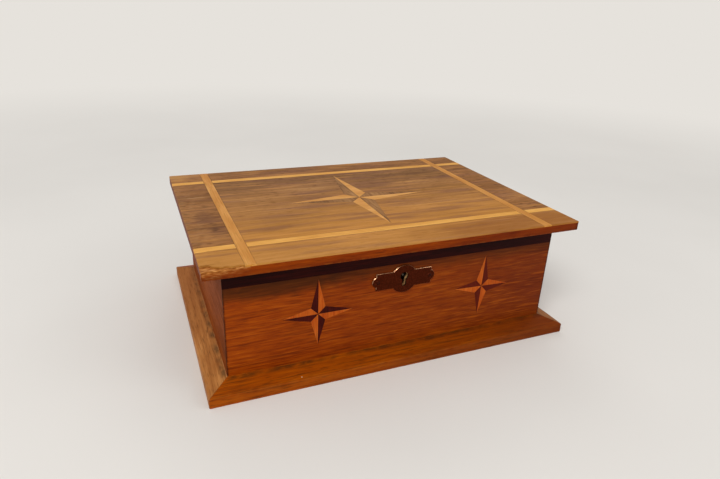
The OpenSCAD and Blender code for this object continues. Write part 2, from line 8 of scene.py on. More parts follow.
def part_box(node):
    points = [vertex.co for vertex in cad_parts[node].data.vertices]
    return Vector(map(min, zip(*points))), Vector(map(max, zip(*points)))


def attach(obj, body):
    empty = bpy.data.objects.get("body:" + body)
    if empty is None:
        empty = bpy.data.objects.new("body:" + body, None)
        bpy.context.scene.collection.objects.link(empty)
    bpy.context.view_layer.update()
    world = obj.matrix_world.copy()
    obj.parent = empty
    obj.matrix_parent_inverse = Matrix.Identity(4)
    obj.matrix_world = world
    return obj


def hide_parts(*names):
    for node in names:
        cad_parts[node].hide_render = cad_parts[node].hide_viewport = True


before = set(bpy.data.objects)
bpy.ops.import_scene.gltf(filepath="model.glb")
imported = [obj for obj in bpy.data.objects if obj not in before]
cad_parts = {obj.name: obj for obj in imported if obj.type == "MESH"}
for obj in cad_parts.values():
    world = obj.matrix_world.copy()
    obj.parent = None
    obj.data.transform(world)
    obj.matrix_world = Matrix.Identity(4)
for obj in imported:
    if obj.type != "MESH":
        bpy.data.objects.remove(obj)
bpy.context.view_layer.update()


# Camera. A short view from the left of the front and a little above the lid, held by hand,
# so the picture leans slightly. The lens is given for a sensor 36 mm wide.
camera_data = bpy.data.cameras.new("camera")
camera_data.sensor_fit = "HORIZONTAL"
camera_data.sensor_width = 36
camera_data.lens = 27.564
camera_data.clip_start = 0.01
camera = bpy.data.objects.new("camera", camera_data)
azimuth, elevation, lean = math.radians(-23.456), math.radians(22.819), math.radians(2.441)
outward = Vector((math.sin(azimuth) * math.cos(elevation),
                  -math.cos(azimuth) * math.cos(elevation), math.sin(elevation)))
level = Vector((math.cos(azimuth), math.sin(azimuth), 0))
upright = outward.cross(level)
side = level * math.cos(lean) + upright * math.sin(lean)
top = upright * math.cos(lean) - level * math.sin(lean)
camera.matrix_world = Matrix((side, top, outward)).transposed().to_4x4()
camera.location = (-0.19359, -0.45209, 0.27433)
bpy.context.scene.collection.objects.link(camera)
bpy.context.scene.camera = camera
bpy.context.scene.view_settings.view_transform = "Standard"


# Floor. A plain pale table top, painted matt, with the faint cloudiness of rolled paint. Far
# from the box its look passes into that of the pale room, so that no horizon shows.
def linear(code):
    """An sRGB hex colour as the linear colour that the shaders take."""
    parts = [int(code[i:i + 2], 16) / 255 for i in (1, 3, 5)]
    return [c / 12.92 if c <= 0.04045 else ((c + 0.055) / 1.055) ** 2.4 for c in parts] + [1]


def node(material, kind, sockets={}, stops=(), **settings):
    """Adds one shader node: its settings, its values or links, and the stops of a ramp."""
    made = material.node_tree.nodes.new("ShaderNode" + kind)
    for name, value in settings.items():
        setattr(made, name, value)
    for place, colour in stops[1:-1]:
        made.color_ramp.elements.new(place).color = linear(colour)
    if stops:
        for end in (0, -1):
            made.color_ramp.elements[end].position = stops[end][0]
            made.color_ramp.elements[end].color = linear(stops[end][1])
    for name, value in sockets.items():
        if isinstance(value, bpy.types.NodeSocket):
            material.node_tree.links.new(value, made.inputs[name])
        else:
            made.inputs[name].default_value = linear(value) if isinstance(value, str) else value
    return made


def new_material(name):
    material = bpy.data.materials.new(name)
    material.use_nodes = True
    material.node_tree.nodes.clear()
    return material


def seen_directly(material):
    """1 for the rays from the camera and for reflected and refracted ones, else 0."""
    path = node(material, "LightPath").outputs
    either = node(material, "Math", {0: path["Is Camera Ray"], 1: path["Is Glossy Ray"]},
                  operation="MAXIMUM").outputs[0]
    return node(material, "Math", {0: either, 1: path["Is Transmission Ray"]},
                operation="MAXIMUM").outputs[0]


room_tone = "#e6e2dc"
floor_size = 60
fade_near, fade_far = 0.6, 1.7
floor_paint = new_material("pale_matt_paint")
spot = node(floor_paint, "TexCoord").outputs["Object"]
cloud = node(floor_paint, "TexNoise", {"Vector": spot, "Scale": 3.0, "Detail": 3.0}).outputs[0]
tint = node(floor_paint, "ValToRGB", {"Fac": cloud},
            stops=[(0.3, "#e3dfd9"), (0.7, "#e8e4de")]).outputs[0]
paint = node(floor_paint, "BsdfPrincipled", {"Base Color": tint, "Roughness": 0.85,
                                             "Specular IOR Level": 0.2})
far_look = node(floor_paint, "Emission", {"Color": room_tone, "Strength": 1.0})
away = node(floor_paint, "VectorMath", {0: spot}, operation="LENGTH").outputs["Value"]
away = node(floor_paint, "MapRange", {"Value": away, "From Min": fade_near,
                                      "From Max": fade_far},
            interpolation_type="SMOOTHSTEP").outputs[0]
away = node(floor_paint, "Math", {0: away, 1: seen_directly(floor_paint)},
            operation="MULTIPLY").outputs[0]
surface = node(floor_paint, "MixShader", {0: away, 1: paint.outputs[0], 2: far_look.outputs[0]})
node(floor_paint, "OutputMaterial", {"Surface": surface.outputs[0]})
bm = bmesh.new()
bmesh.ops.create_grid(bm, x_segments=1, y_segments=1, size=floor_size / 2)
floor_mesh = bpy.data.meshes.new("floor")
bm.to_mesh(floor_mesh)
bm.free()
floor_mesh.materials.append(floor_paint)
floor = bpy.data.objects.new("floor", floor_mesh)
bpy.context.scene.collection.objects.link(floor)


# Light. One soft lamp high on the left of the front, weaker ones on the right and behind, and
# the pale room all round; together they light a level face so that a colour shows as written.
world = bpy.data.worlds.new("pale_room")
world.use_nodes = True
world.node_tree.nodes.clear()
room_light = node(world, "Background", {"Color": "#ffffff", "Strength": 0.55})
room_look = node(world, "Background", {"Color": room_tone, "Strength": 1.0})
both = node(world, "MixShader", {0: seen_directly(world), 1: room_light.outputs[0],
                                 2: room_look.outputs[0]})
node(world, "OutputWorld", {"Surface": both.outputs[0]})
bpy.context.scene.world = world
for name, spot, width, power in (("key_lamp", (-1.15, -1.25, 1.75), 1.0, 26.0),
                                 ("fill_lamp", (2.1, -1.7, 1.5), 1.8, 12.0),
                                 ("back_lamp", (0.5, 2.4, 2.1), 1.8, 11.0)):
    lamp_data = bpy.data.lights.new(name, "AREA")
    lamp_data.shape = "DISK"
    lamp_data.size = width
    lamp_data.energy = power
    lamp = bpy.data.objects.new(name, lamp_data)
    lamp.location = spot
    lamp.rotation_euler = Vector(spot).to_track_quat("Z", "Y").to_euler()
    bpy.context.scene.collection.objects.link(lamp)


# Lid board. One solid board of reddish wood, planed, with its arrises eased by hand and then
# by use, and cut underneath for the hinges and the link plate. The front left corner is bruised.
mm = 0.001


def box_of(cad_name):
    """A CAD node's lowest and highest corners, in mm."""
    low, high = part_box(cad_name)
    return Vector(low) / mm, Vector(high) / mm


def plain_copy(cad_name):
    """The mesh of a CAD node, welded, with its flat faces made whole."""
    bm = bmesh.new()
    bm.from_mesh(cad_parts[cad_name].data)
    bmesh.ops.remove_doubles(bm, verts=bm.verts, dist=1e-6)
    bmesh.ops.dissolve_limit(bm, angle_limit=0.01, verts=bm.verts, edges=bm.edges)
    return bm


def box_arrises(bm, low, high):
    """The edges that run along the outer arrises of a piece's box."""
    found = []
    for edge in bm.edges:
        ends = [v.co / mm for v in edge.verts]
        flush = [all(abs(end[i] - wall[i]) < 0.01 for end in ends)
                 for wall in (low, high) for i in range(3)]
        if sum(flush) >= 2:
            found.append(edge)
    return found


def ease(bm, edges, width, steps=2):
    """Rounds edges over, as with a few strokes of a plane and sandpaper."""
    bmesh.ops.bevel(bm, geom=edges, offset=width * mm, segments=steps, profile=0.5,
                    affect="EDGES", clamp_overlap=True)


def cut_across(bm, axis, start, stop, step):
    """Cuts a mesh at even steps in mm, so that its surface can be worn unevenly."""
    normal = Vector([float(i == axis) for i in range(3)])
    count = int((stop - start) / step)
    for i in range(1, count):
        bmesh.ops.bisect_plane(bm, geom=bm.verts[:] + bm.edges[:] + bm.faces[:], dist=1e-7,
                               plane_co=normal * (start + i * step) * mm, plane_no=normal)


def make_piece(name, bm, materials, sharp=32):
    """Turns a mesh into an object, smooth but for its sharp edges."""
    mesh = bpy.data.meshes.new(name)
    bmesh.ops.recalc_face_normals(bm, faces=bm.faces)
    for face in bm.faces:
        face.smooth = True
    bm.to_mesh(mesh)
    bm.free()
    mesh.set_sharp_from_angle(angle=math.radians(sharp))
    for material in materials:
        mesh.materials.append(material)
    piece = bpy.data.objects.new(name, mesh)
    bpy.context.scene.collection.objects.link(piece)
    flat = piece.modifiers.new("flat_faces", "WEIGHTED_NORMAL")
    flat.keep_sharp = True
    return piece


def wood(name, tones, grain="X", band=2.6, stretch=24, swirl=6, cloud=26, cloud_part=0.45,
         flecks="#2a170c", fleck_size=0.8, fleck_long=14, fleck_part=0.6, satin=(0.45, 0.6),
         gloss=0.2, joint="#24130a", worn="#c49260", relief=0.2):
    """A wood with its fibres along one axis: broad colour, growth bands across the fibres,
    short dark pores, dirt in its joints and paler worn arrises. Sizes are in mm. Real pores
    are a quarter as wide; they are drawn coarser so that they show in the picture."""
    material = new_material(name)
    place = node(material, "TexCoord").outputs["Object"]
    sheet = node(material, "Attribute", attribute_name="sheet").outputs["Vector"]
    place = node(material, "VectorMath", {0: place, 1: sheet}, operation="ADD").outputs[0]
    axis = "XYZ".index(grain)

    def along(length):
        scale = [1000.0] * 3
        scale[axis] = 1000.0 / length
        return node(material, "Mapping", {"Vector": place, "Scale": scale}).outputs[0]

    wander = node(material, "TexNoise", {"Vector": along(6), "Scale": 1 / 34, "Detail": 2.0})
    bent = node(material, "VectorMath", {0: wander.outputs["Color"], 1: (swirl,) * 3,
                                         2: along(stretch)}, operation="MULTIPLY_ADD").outputs[0]
    bands = node(material, "TexNoise", {"Vector": bent, "Scale": 1 / band, "Detail": 5.0,
                                        "Roughness": 0.6}).outputs["Fac"]
    broad = node(material, "TexNoise", {"Vector": along(3), "Scale": 1 / cloud,
                                        "Detail": 2.0}).outputs["Fac"]
    figure = node(material, "Mix", {0: cloud_part, 2: bands, 3: broad}).outputs[0]
    figure = node(material, "MapRange", {"Value": figure, "From Min": 0.34,
                                         "From Max": 0.66}).outputs[0]
    spread = 1 / (len(tones) - 1)
    colour = node(material, "ValToRGB", {"Fac": figure},
                  stops=[(i * spread, tone) for i, tone in enumerate(tones)]).outputs[0]
    dashes = node(material, "TexNoise", {"Vector": along(fleck_long), "Scale": 1 / fleck_size,
                                         "Detail": 1.0}).outputs["Fac"]
    dashes = node(material, "MapRange", {"Value": dashes, "From Min": 0.56, "From Max": 0.74,
                                         "To Max": fleck_part}).outputs[0]
    colour = node(material, "MixRGB", {"Fac": dashes, "Color1": colour,
                                       "Color2": flecks}).outputs[0]
    patchy = node(material, "TexNoise", {"Vector": along(1.5), "Scale": 1 / 3.2,
                                         "Detail": 3.0}).outputs["Fac"]
    for mark, stain, least, most in (("arris", worn, 0.42, 0.62), ("joint", joint, 0.2, 0.5)):
        amount = node(material, "Attribute", attribute_name=mark).outputs["Fac"]
        uneven = node(material, "MapRange", {"Value": patchy, "From Min": least,
                                             "From Max": most}).outputs[0]
        amount = node(material, "Math", {0: amount, 1: uneven}, operation="MULTIPLY").outputs[0]
        colour = node(material, "MixRGB", {"Fac": amount, "Color1": colour,
                                           "Color2": stain}).outputs[0]
    rough = node(material, "MapRange", {"Value": figure, "To Min": satin[1],
                                        "To Max": satin[0]}).outputs[0]
    rough = node(material, "Math", {0: dashes, 1: 0.15, 2: rough},
                 operation="MULTIPLY_ADD").outputs[0]
    height = node(material, "Math", {0: dashes, 1: -0.7, 2: bands},
                  operation="MULTIPLY_ADD").outputs[0]
    bump = node(material, "Bump", {"Height": height, "Strength": relief, "Distance": 0.0004})
    shader = node(material, "BsdfPrincipled", {
        "Base Color": colour, "Roughness": rough, "Normal": bump.outputs[0],
        "Specular IOR Level": gloss})
    shader.name = "surface"
    node(material, "OutputMaterial", {"Surface": shader.outputs[0]})
    return material


def overlay(material, amount, colour):
    """Lays one more colour over a wood where the amount says."""
    shader = material.node_tree.nodes["surface"]
    under = shader.inputs["Base Color"].links[0].from_socket
    mixed = node(material, "MixRGB", {"Fac": amount, "Color1": under, "Color2": colour})
    material.node_tree.links.new(mixed.outputs[0], shader.inputs["Base Color"])


def streaks(material, colour, width, length, start, full, most, grain="X", seed=0.0):
    """Lays streaks of one more colour along the grain. Width and length are in mm."""
    scale = [1000 / width] * 3
    scale["XYZ".index(grain)] = 1000 / length
    place = node(material, "TexCoord").outputs["Object"]
    place = node(material, "Mapping", {"Vector": place, "Scale": scale,
                                       "Location": (seed,) * 3}).outputs[0]
    lines = node(material, "TexNoise", {"Vector": place, "Scale": 1.0, "Detail": 2.0})
    amount = node(material, "MapRange", {"Value": lines.outputs["Fac"], "From Min": start,
                                         "From Max": full, "To Max": most}).outputs[0]
    overlay(material, amount, colour)


def fade(material, axis, start, stop, most, colour, ragged=0.0, width=30.0):
    """Fades in one more colour along an axis, from start to stop in mm, more or less ragged."""
    spot = node(material, "TexCoord").outputs["Object"]
    level = node(material, "SeparateXYZ", {0: spot}).outputs[axis]
    drift = node(material, "TexNoise", {"Vector": spot, "Scale": 1000 / width, "Detail": 2.0})
    level = node(material, "Math", {0: drift.outputs["Fac"], 1: ragged * mm, 2: level},
                 operation="MULTIPLY_ADD").outputs[0]
    amount = node(material, "MapRange", {
        "Value": level, "From Min": (start + ragged / 2) * mm,
        "From Max": (stop + ragged / 2) * mm, "To Max": most}).outputs[0]
    overlay(material, amount, colour)


def blot(material, centre, radii, most, colour, ragged=1.0, width=11.0):
    """Lays a mark round one place, with a ragged border. Centre and radii are in mm."""
    spot = node(material, "TexCoord").outputs["Object"]
    off = node(material, "VectorMath", {0: spot, 1: Vector(centre) * mm},
               operation="SUBTRACT").outputs[0]
    off = node(material, "VectorMath", {0: off, 1: Vector(radii) * mm},
               operation="DIVIDE").outputs[0]
    off = node(material, "VectorMath", {0: off}, operation="LENGTH").outputs["Value"]
    drift = node(material, "TexNoise", {"Vector": spot, "Scale": 1000 / width, "Detail": 3.0})
    off = node(material, "Math", {0: drift.outputs["Fac"], 1: ragged, 2: off},
               operation="MULTIPLY_ADD").outputs[0]
    amount = node(material, "MapRange", {"Value": off, "From Min": 1 + ragged / 2,
                                         "From Max": 0.4 + ragged / 2,
                                         "To Max": most}).outputs[0]
    overlay(material, amount, colour)


# The veneer is broken off in front of this line: distance from the lid's left end, and depth
# from its front edge.
lid_low, lid_high = box_of("lid_board")
veneer_low, veneer_high = box_of("lid_veneer_border")
chip = [(0, 8.6), (3.5, 8.3), (6.6, 7.9), (7.5, 5.5), (11, 3.7), (14, 2.3), (16.4, 2.9),
        (19, 2.4), (22, 0.9), (24.6, 1.7), (27, 2.2), (28.6, 0.8), (29.6, 0.4), (33, 0)]
chip_length = chip[-1][0]


def chip_depth(x):
    x -= lid_low.x
    for (x0, d0), (x1, d1) in zip(chip, chip[1:]):
        if x <= x1:
            return d0 + (d1 - d0) * max(0, x - x0) / (x1 - x0)
    return 0


mahogany_edge = wood("mahogany_lid_edge_polished",
                     ["#5a1c00", "#762a00", "#883500", "#9c4400"], band=2.2, stretch=20,
                     cloud=18, satin=(0.42, 0.55), gloss=0.06, worn="#b8661c", flecks="#421402")
# Painted shade: the front edge darkens towards its underside, turned from the light above
fade(mahogany_edge, "Z", lid_high.z - 2.2, lid_low.z + 1.5, 0.4, "#581c03", ragged=1.4,
     width=12)
fade(mahogany_edge, "X", -40, 150, 0.35, "#561602", ragged=30, width=50)
# Both ends are darker, most of all the right one
for end, inward, stain in ((lid_low.x, 1.6, 0.2), (lid_high.x, -4.0, 0.6)):
    fade(mahogany_edge, "X", end + inward, end + inward / 5, stain, "#381303")
bruise = node(mahogany_edge, "Attribute", attribute_name="bruise").outputs["Fac"]
torn = node(mahogany_edge, "TexCoord").outputs["Object"]
torn = node(mahogany_edge, "Mapping", {"Vector": torn, "Scale": (260, 1100, 1300)}).outputs[0]
torn = node(mahogany_edge, "TexNoise", {"Vector": torn, "Scale": 1.0, "Detail": 4.0})
torn = node(mahogany_edge, "ValToRGB", {"Fac": torn.outputs["Fac"]},
            stops=[(0.34, "#7c4416"), (0.5, "#a8662a"), (0.64, "#cc8f50")]).outputs[0]
overlay(mahogany_edge, bruise, torn)
bare_mahogany = wood("mahogany_planed_bare", ["#6d3d20", "#8a5630", "#9c683e", "#ad7a4c"],
                     band=3.0, stretch=20, satin=(0.62, 0.75), worn="#b88a5c")

bm = plain_copy("lid_board")
ease(bm, [e for e in box_arrises(bm, lid_low, lid_high)
          if max(v.co.z for v in e.verts) < lid_high.z * mm - 1e-5
          or abs(e.verts[0].co.z - e.verts[1].co.z) > 1e-3], 0.7)
# The bruise reaches a little past the broken veneer, and the board is cut finely only there
bruise_end = lid_low.x + chip_length + 3
cut_across(bm, 0, lid_low.x, bruise_end, 1.0)
cut_across(bm, 0, bruise_end, lid_high.x, 9)
cut_across(bm, 1, lid_low.y, lid_low.y + 10.5, 0.75)
cut_across(bm, 2, lid_low.z + 0.9, lid_high.z, 0.9)
splinter_long, splinter_wide = 5, 1.1
front_fade, end_reach = 26, 10
# A point this near to a face of the board lies on it
on_face = 0.1
bruise_layer = bm.verts.layers.float.new("bruise")
arris_layer = bm.verts.layers.float.new("arris")
for v in bm.verts:
    x, y, z = v.co / mm
    grain = noise.noise(Vector((x / splinter_long, y / splinter_wide, z / splinter_wide)))
    # How far this point lies behind the broken edge of the veneer, and how near the corner
    behind = y - lid_low.y - chip_depth(x)
    near = max(0, min(1, (lid_low.x + chip_length + 1 - x) / front_fade))
    if behind < 0.2 and x < lid_low.x + chip_length and z > lid_high.z - on_face:
        v[bruise_layer] = 1
        v.co.z -= (0.12 + 0.03 * abs(behind) + 0.22 * abs(grain)) * mm
        if y < lid_low.y + on_face:
            v.co.z -= 0.55 * near * mm
            v.co.y += 0.35 * near * mm
    elif y < lid_low.y + on_face and x < bruise_end + 4:
        under = lid_high.z - z
        v[bruise_layer] = max(0, near * (0.9 - 0.16 * under) + 0.5 * grain * near)
        v.co.y += max(0, 0.3 * near * (0.4 + grain)) * mm
    elif x < lid_low.x + on_face and y < lid_low.y + end_reach:
        v[bruise_layer] = 0.5 * max(0, 1 - (y - lid_low.y) / end_reach)
        v.co.x += max(0, 0.35 * (0.3 + grain)) * mm
    if z < lid_low.z + 0.8 and min(y - lid_low.y, x - lid_low.x) < 1:
        v[arris_layer] = 0.4
for face in bm.faces:
    if face.normal.z < -0.5 or face.calc_center_median().z < lid_low.z * mm - 1e-4:
        face.material_index = 1
lid_board = make_piece("lid_board_mahogany", bm, [mahogany_edge, bare_mahogany])
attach(lid_board, "lid")
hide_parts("lid_board")


# Lid veneer. Sheets of walnut, sawn thin and glued to the board with their grain along the
# lid: one in the middle with the star let into it, and eight round it between the strips.
# Old wax gone dull gives it little gloss.
def ring_joint(bm, facing, ring=0.25):
    """Marks a narrow ring inside the outline of a piece let in flush as its glued joint."""
    shown = [f for f in bm.faces if f.normal.dot(facing) > 0.9]
    bmesh.ops.inset_region(bm, faces=shown, thickness=ring * mm, use_even_offset=True,
                           use_boundary=True)
    layer = bm.verts.layers.float.new("joint")
    for v in bm.verts:
        turned = [f.normal.dot(facing) for f in v.link_faces]
        if max(turned) > 0.9 and min(turned) < 0.5:
            v[layer] = 1
    return bm


def wear_lid_edge(bm, worn_ring=0.6, patch=9):
    """The outer arris of the lid is no joint: it is rounded unevenly and rubbed paler."""
    on_edge = 0.02
    joint_layer = bm.verts.layers.float["joint"]
    layer = bm.verts.layers.float.new("arris")
    for v in bm.verts:
        x, y, z = v.co / mm
        if z < veneer_high.z - 0.01:
            continue
        off_side = min(x - lid_low.x, lid_high.x - x)
        off_end = min(y - lid_low.y, lid_high.y - y)
        if min(off_side, off_end) < on_edge:
            rub = 0.5 + 0.5 * noise.noise(Vector((x / patch, y / patch, 3)))
            v[joint_layer] = 0
            v[layer] = 0.25
            v.co.z -= (0.18 + 0.3 * rub) * mm
            if off_side < on_edge:
                v.co.x -= math.copysign(0.1 + 0.16 * rub, x) * mm
            if off_end < on_edge:
                v.co.y -= math.copysign(0.1 + 0.16 * rub, y) * mm
        elif min(off_side, off_end) < worn_ring:
            v[layer] = 0.15


def number_sheets(bm, first, step=(0.31, 0.17, 0.05)):
    """Shifts the pattern of each separate sheet, so that its grain is its own."""
    layer = bm.verts.layers.float_vector.new("sheet")
    left = set(bm.verts)
    number = first
    while left:
        start = min(left, key=lambda v: (round(v.co.x, 5), round(v.co.y, 5), round(v.co.z, 5)))
        island, edge = {start}, [start]
        while edge:
            for e in edge.pop().link_edges:
                for v in e.verts:
                    if v not in island:
                        island.add(v)
                        edge.append(v)
        for v in island:
            v[layer] = [number * s for s in step]
        left -= island
        number += 1


def star_tips(cad_name, rise, further, flank=0):
    """The tips of a star's arms, each with its axis and with the length in mm by which it is
    drawn out, given for left, right, low and high. Flank picks the left or the right star."""
    spots = [v.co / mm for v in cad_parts[cad_name].data.vertices]
    spots = [spot for spot in spots if spot.x * flank >= 0]
    ends = ((0, min), (0, max), (rise, min), (rise, max))
    return [(axis, end(spots, key=lambda spot: spot[axis]), length)
            for (axis, end), length in zip(ends, further)]


def draw_out(bm, tips, tip_size=4):
    """Draws out the tips of stars, in their halves or in the wood round them."""
    for v in bm.verts:
        for axis, tip, further in tips:
            if (v.co / mm - tip).length < tip_size:
                v.co[axis] += further * mm
    return bm


up = Vector((0, 0, 1))
cross_low = box_of("lid_cross_strips")[0]
long_low = box_of("lid_long_strips")[0]
# The star's tips are so thin that they fade before they end, so they are drawn further out
# than the CAD model has them
lid_star_tips = star_tips("lid_star_pale", 1, (-7, 7, -3, 6))
walnut_middle = wood("walnut_veneer_waxed", ["#59371a", "#7c5228", "#8d5e32", "#a77641"],
                     band=2.4, stretch=30, swirl=9, cloud=34, satin=(0.5, 0.62), gloss=0.06,
                     flecks="#4a2c18", fleck_size=1.7, fleck_long=5, fleck_part=0.75,
                     joint="#3a2010", worn="#b98a58")
# The sheet is greyer at the back and golden at the front: partly its own colour, and partly
# a painted sheen of the pale room across the back
fade(walnut_middle, "Y", 50, -75, 0.6, "#cf8c38", ragged=60, width=90)
streaks(walnut_middle, "#6e4436", 8, 70, 0.48, 0.66, 0.5, seed=3.0)
streaks(walnut_middle, "#c88a44", 4, 60, 0.54, 0.7, 0.45, seed=8.0)
walnut_border = wood("walnut_border_waxed", ["#5e3817", "#845426", "#966231", "#ae773e"],
                     band=2.2, stretch=26, swirl=8, cloud=30, satin=(0.5, 0.62), gloss=0.06,
                     flecks="#4a2c18", fleck_size=1.7, fleck_long=5, fleck_part=0.75,
                     joint="#3a2010", worn="#c39a68")
fade(walnut_border, "Y", long_low.y + 6, long_low.y - 4, 0.55, "#cc8c3c")
blot(walnut_border, (lid_high.x - 45, lid_low.y + 12, veneer_high.z), (125, 26, 40), 0.65,
     "#884e1a", ragged=0.8, width=30)
streaks(walnut_border, "#6e4436", 7, 70, 0.5, 0.68, 0.4, seed=5.0)
streaks(walnut_border, "#c88a44", 4, 60, 0.54, 0.7, 0.45, seed=9.0)
# Two knots in the left sheet, a golden back corner and one fine pale scratch
blot(walnut_border, (lid_low.x + 17, -14.5, veneer_high.z), (11, 17, 40), 0.32, "#4b2820")
blot(walnut_border, (lid_low.x + 23, -47, veneer_high.z), (9, 13, 40), 0.28, "#4b2820")
blot(walnut_border, (lid_low.x + 6, lid_high.y - 7, veneer_high.z), (14, 14, 40), 0.5,
     "#c08c48")
blot(walnut_border, (lid_low.x + 17, 38, veneer_high.z), (14, 1.1, 40), 0.6, "#c69a6c",
     ragged=0.6)

bm = ring_joint(draw_out(plain_copy("lid_veneer_middle"), lid_star_tips), up)
lid_middle = make_piece("lid_middle_walnut", bm, [walnut_middle])
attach(lid_middle, "lid")
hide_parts("lid_veneer_middle")

bm = plain_copy("lid_veneer_border")
corner = [v for v in bm.verts if v.co.x < cross_low.x * mm and v.co.y < long_low.y * mm]
inner = Vector((max(v.co.x for v in corner), max(v.co.y for v in corner), 0)) / mm
bmesh.ops.delete(bm, geom=corner, context="VERTS")
rng = random.Random(5)
broken = [(lid_low.x, inner.y), (inner.x, inner.y)]
x = inner.x
while x > lid_low.x + 0.7:
    broken.append((x, lid_low.y + max(0.05, chip_depth(x) + rng.uniform(-0.3, 0.3))))
    x -= rng.uniform(0.8, 1.5)
broken.append((lid_low.x, lid_low.y + chip_depth(lid_low.x)))
rings = [[bm.verts.new((x * mm, y * mm, z * mm)) for x, y in broken]
         for z in (veneer_low.z, veneer_high.z)]
bm.faces.new(rings[1])
bm.faces.new(rings[0][::-1])
for i in range(len(broken)):
    bm.faces.new((rings[0][i - 1], rings[0][i], rings[1][i], rings[1][i - 1]))
bmesh.ops.recalc_face_normals(bm, faces=bm.faces)
cut_across(bm, 0, inner.x, lid_high.x, 7)
cut_across(bm, 1, inner.y, lid_high.y, 7)
ring_joint(bm, up)
wear_lid_edge(bm)
number_sheets(bm, 1)
lid_border = make_piece("lid_border_walnut", bm, [walnut_border])
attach(lid_border, "lid")
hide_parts("lid_veneer_border")


# Lid strips. Pale maple yellowed by old shellac, let in round the middle of the lid: two run
# across it from edge to edge, and the others butt against them.
maple_across = wood("maple_across_shellacked", ["#ae6c29", "#be7d32", "#c8883c", "#d3974a"],
                    grain="Y", band=1.6, stretch=34, cloud=14, swirl=3, satin=(0.45, 0.55),
                    gloss=0.06, flecks="#a8742e", joint="#6b4220", worn="#e0b070", relief=0.1)
maple_along = wood("maple_along_shellacked", ["#c88636", "#d69642", "#e0a34c", "#ecb25c"],
                   grain="X", band=1.5, stretch=34, cloud=14, swirl=3, satin=(0.45, 0.55),
                   gloss=0.06, flecks="#b98838", joint="#6b4220", worn="#edc888", relief=0.1)
for name, cad_name, material, first, axis in (
        ("lid_cross_strips_maple", "lid_cross_strips", maple_across, 20, 1),
        ("lid_long_strips_maple", "lid_long_strips", maple_along, 30, 0)):
    bm = plain_copy(cad_name)
    cut_across(bm, axis, lid_low[axis], lid_high[axis], 9)
    ring_joint(bm, up, 0.2)
    wear_lid_edge(bm)
    number_sheets(bm, first)
    strips = make_piece(name, bm, [material])
    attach(strips, "lid")
    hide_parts(cad_name)


# Lid star. Eight thin half arms, let into the middle sheet: pale maple on one side of each
# arm, and on the other walnut so near the ground that only its dark glue line shows.
maple_star = wood("maple_star_shellacked", ["#ba7a36", "#c88940", "#d4964c", "#dda35c"],
                  grain="X", band=1.6, stretch=20, cloud=12, swirl=4, satin=(0.45, 0.55),
                  gloss=0.06, flecks="#bd8a40", joint="#c08c48", relief=0.1)
walnut_star = wood("walnut_star_waxed", ["#6e4a28", "#8c6036", "#9c6e3e", "#b0804a"],
                   grain="Y", band=1.8, stretch=20, cloud=14, satin=(0.5, 0.62), gloss=0.06,
                   flecks="#56341e", joint="#5a3024")
for name, cad_name, material, slot, ring in (
        ("lid_star_maple", "lid_star_pale", maple_star, "pale_wood", 0.05),
        ("lid_star_walnut", "lid_star_dark", walnut_star, "lid_star_brown", 0.25)):
    bm = ring_joint(draw_out(plain_copy(cad_name), lid_star_tips), up, ring)
    number_sheets(bm, 50)
    arms = make_piece(name, bm, [material])
    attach(arms, "lid")
    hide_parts(cad_name)


# Front wall. A mahogany board, french polished outside and left bare inside, mitred to the
# side walls, cut for the lock and the keyhole, with a rebate for the dark fillet.
mahogany_front = wood("mahogany_front_french_polished",
                      ["#6e2500", "#8a3600", "#984000", "#ae5202"], band=1.4, stretch=14,
                      swirl=3, cloud=40, cloud_part=0.35, satin=(0.42, 0.55), gloss=0.08,
                      flecks="#4a1604", fleck_size=1.0, fleck_part=0.5, joint="#220b05",
                      worn="#9c5424", relief=0.12)
wall_low, wall_high = box_of("front_wall")
fillet_low, fillet_high = box_of("front_fillet")
# It is redder and darker towards the right
fade(mahogany_front, "X", -115, 125, 0.6, "#501502", ragged=40, width=60)
streaks(mahogany_front, "#4e1a03", 1.2, 34, 0.56, 0.7, 0.5, seed=2.0)
streaks(mahogany_front, "#c06010", 1.8, 30, 0.58, 0.72, 0.3, seed=6.0)
# Painted shade of the lid's overhang: darker in a band below the fillet
fade(mahogany_front, "Z", fillet_low.z - 12, fillet_low.z - 2, 0.55, "#3e1e03", ragged=8,
     width=14)
# A darker patch below the fillet, at the left
blot(mahogany_front, (wall_low.x + 40, wall_low.y, fillet_low.z - 4), (90, 30, 11), 0.6,
     "#301a04", ragged=1.2, width=14)


def wall_copy(cad_name, inside, rim_ease, outer_ease=0.5, dirt=1.6):
    """A wall of the case: outer corners and rim eased, faces on the inside left bare."""
    low, high = box_of(cad_name)
    bm = plain_copy(cad_name)
    arrises = box_arrises(bm, low, high)
    upright = [e for e in arrises if abs(e.verts[0].co.z - e.verts[1].co.z) > 0.02]
    rim = [e for e in arrises if min(v.co.z for v in e.verts) > high.z * mm - 1e-4]
    if rim_ease:
        ease(bm, rim, rim_ease)
    upright = [e for e in upright if e.is_valid]
    ease(bm, upright, outer_ease)
    bm.normal_update()
    for face in bm.faces:
        if face.normal.dot(Vector(inside)) > 0.5:
            face.material_index = 1
    # Dirt stays along the mitred corners
    for side, axis in ((wall_high.x, 0), (-wall_low.y, 1)):
        for flank in (-1, 1):
            bmesh.ops.bisect_plane(bm, geom=bm.verts[:] + bm.edges[:] + bm.faces[:],
                                   dist=1e-7, plane_no=[float(i == axis) for i in range(3)],
                                   plane_co=[flank * (side - dirt) * mm] * 3)
    layer = bm.verts.layers.float.new("joint")
    for v in bm.verts:
        corner = abs(abs(v.co.x) - wall_high.x * mm) + abs(abs(v.co.y) + wall_low.y * mm)
        v[layer] = 0.8 if corner < 0.75 * dirt * mm else 0
    return bm


